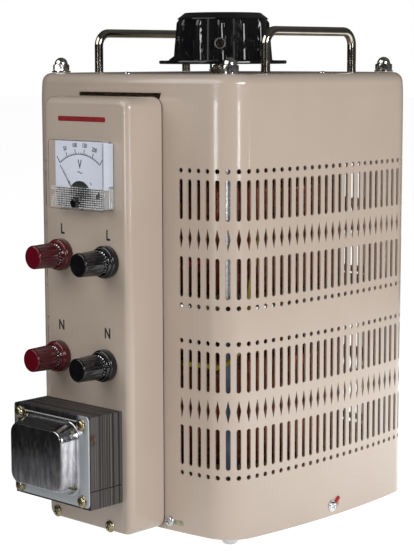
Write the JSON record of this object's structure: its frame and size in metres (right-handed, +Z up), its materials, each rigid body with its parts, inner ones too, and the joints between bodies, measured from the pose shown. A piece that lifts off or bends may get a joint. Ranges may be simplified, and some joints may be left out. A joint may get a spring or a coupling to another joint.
{
  "type": "variable autotransformer",
  "caption": "Bench variable autotransformer in a vented steel case, with a top knob, voltmeter, binding posts and a choke",
  "frame": {"origin": "where the shaft's axis crosses the underside of the base tray, 7 mm above the surface that the foot nuts stand on", "axes": "+Z up along the shaft, -Y towards the front with the terminal box, +X to the right seen from the front"},
  "size_m": [0.2525, 0.34, 0.4277],
  "materials": {
    "case_paint": "smooth glossy beige-taupe stoving enamel with a light orange peel",
    "zinc": "bright zinc plate",
    "chrome": "polished chrome plate",
    "brass": "turned brass and yellow-passivated steel",
    "bakelite": "moulded glossy black",
    "post_red": "moulded glossy crimson",
    "post_black": "moulded glossy black",
    "clear_plastic": "clear moulded acrylic",
    "dial_white": "matt white print",
    "core_steel": "dark laminated silicon steel",
    "copper_wire": "enamelled copper wire",
    "insulation": "pressed insulating board",
    "aluminium": "as cast",
    "carbon": "pressed carbon",
    "shaft_steel": "turned steel"
  },
  "bodies": {
    "housing": {"case_shell": "case_paint", "base_tray": "case_paint", "terminal_box": "case_paint", "case_screw_right": "zinc", "tie_rod_front_left": "zinc", "foot_nut_front_left": "zinc", "acorn_nut_front_left": "chrome", "tie_rod_front_right": "zinc", "foot_nut_front_right": "zinc", "acorn_nut_front_right": "chrome", "tie_rod_rear_right": "zinc", "foot_nut_rear_right": "zinc", "acorn_nut_rear_right": "chrome", "tie_rod_rear_left": "zinc", "foot_nut_rear_left": "zinc", "acorn_nut_rear_left": "chrome", "carry_handle_left": "chrome", "carry_handle_right": "chrome", "meter_frame": "bakelite", "meter_dial": "dial_white", "meter_cover": "clear_plastic", "post_collar_input_live": "post_red", "post_stud_input_live": "brass", "post_collar_output_live": "post_black", "post_stud_output_live": "brass", "post_collar_input_neutral": "post_red", "post_stud_input_neutral": "brass", "post_collar_output_neutral": "post_black", "post_stud_output_neutral": "brass", "choke_core": "core_steel", "choke_coil": "insulation", "choke_bell_cover": "zinc", "choke_bolt_lower_left": "brass", "choke_bolt_lower_right": "brass", "choke_bolt_upper_left": "brass", "choke_bolt_upper_right": "brass", "toroid_core_lower": "core_steel", "winding_lower": "copper_wire", "support_plate_lower": "insulation", "toroid_core_upper": "core_steel", "winding_upper": "copper_wire", "support_plate_upper": "insulation", "top_bearing": "brass", "bottom_bearing": "brass"},
    "rotor": {"knob": "bakelite", "shaft": "shaft_steel", "brush_arm_lower": "aluminium", "brush_arm_upper": "aluminium", "brush_lower": "carbon", "brush_upper": "carbon"},
    "needle": {"meter_needle": "bakelite"},
    "zero_screw": {"meter_zero_screw": "bakelite"},
    "clamp_input_live": {"post_clamp_input_live": "zinc"},
    "cap_input_live": {"post_cap_input_live": "post_red"},
    "clamp_output_live": {"post_clamp_output_live": "zinc"},
    "cap_output_live": {"post_cap_output_live": "post_black"},
    "clamp_input_neutral": {"post_clamp_input_neutral": "zinc"},
    "cap_input_neutral": {"post_cap_input_neutral": "post_red"},
    "clamp_output_neutral": {"post_clamp_output_neutral": "zinc"},
    "cap_output_neutral": {"post_cap_output_neutral": "post_black"}
  },
  "joints": [
    {"name": "knob_turn", "type": "hinge", "parent": "housing", "child": "rotor", "pos_m": [0, 0, 0.4], "axis": [0, 0, -1], "range_deg": [0, 315]},
    {"name": "needle_swing", "type": "hinge", "parent": "housing", "child": "needle", "pos_m": [-0.001, -0.1682, 0.268], "axis": [0, 1, 0], "range_deg": [0, 75], "stiffness_Nm_per_rad": 0.001},
    {"name": "zero_screw_turn", "type": "hinge", "parent": "housing", "child": "zero_screw", "pos_m": [-0.001, -0.1732, 0.268], "axis": [0, 1, 0], "range_deg": [-30, 30]},
    {"name": "post_travel_input_live", "type": "slide", "parent": "housing", "child": "clamp_input_live", "axis": [0, -1, 0], "range_m": [0, 0.005]},
    {"name": "post_turn_input_live", "type": "hinge", "parent": "clamp_input_live", "child": "cap_input_live", "pos_m": [-0.0287, -0.186, 0.224], "axis": [0, -1, 0], "range_deg": [0, 1800]},
    {"name": "post_travel_output_live", "type": "slide", "parent": "housing", "child": "clamp_output_live", "axis": [0, -1, 0], "range_m": [0, 0.005]},
    {"name": "post_turn_output_live", "type": "hinge", "parent": "clamp_output_live", "child": "cap_output_live", "pos_m": [0.0253, -0.186, 0.2223], "axis": [0, -1, 0], "range_deg": [0, 1800]},
    {"name": "post_travel_input_neutral", "type": "slide", "parent": "housing", "child": "clamp_input_neutral", "axis": [0, -1, 0], "range_m": [0, 0.005]},
    {"name": "post_turn_input_neutral", "type": "hinge", "parent": "clamp_input_neutral", "child": "cap_input_neutral", "pos_m": [-0.0327, -0.186, 0.1395], "axis": [0, -1, 0], "range_deg": [0, 1800]},
    {"name": "post_travel_output_neutral", "type": "slide", "parent": "housing", "child": "clamp_output_neutral", "axis": [0, -1, 0], "range_m": [0, 0.005]},
    {"name": "post_turn_output_neutral", "type": "hinge", "parent": "clamp_output_neutral", "child": "cap_output_neutral", "pos_m": [0.0222, -0.186, 0.1384], "axis": [0, -1, 0], "range_deg": [0, 1800]}
  ],
  "couplings": [
    {"joint": "post_turn_input_live", "follows": "post_travel_input_live", "rad_per_m": 6283},
    {"joint": "post_turn_output_live", "follows": "post_travel_output_live", "rad_per_m": 6283},
    {"joint": "post_turn_input_neutral", "follows": "post_travel_input_neutral", "rad_per_m": 6283},
    {"joint": "post_turn_output_neutral", "follows": "post_travel_output_neutral", "rad_per_m": 6283}
  ]
}
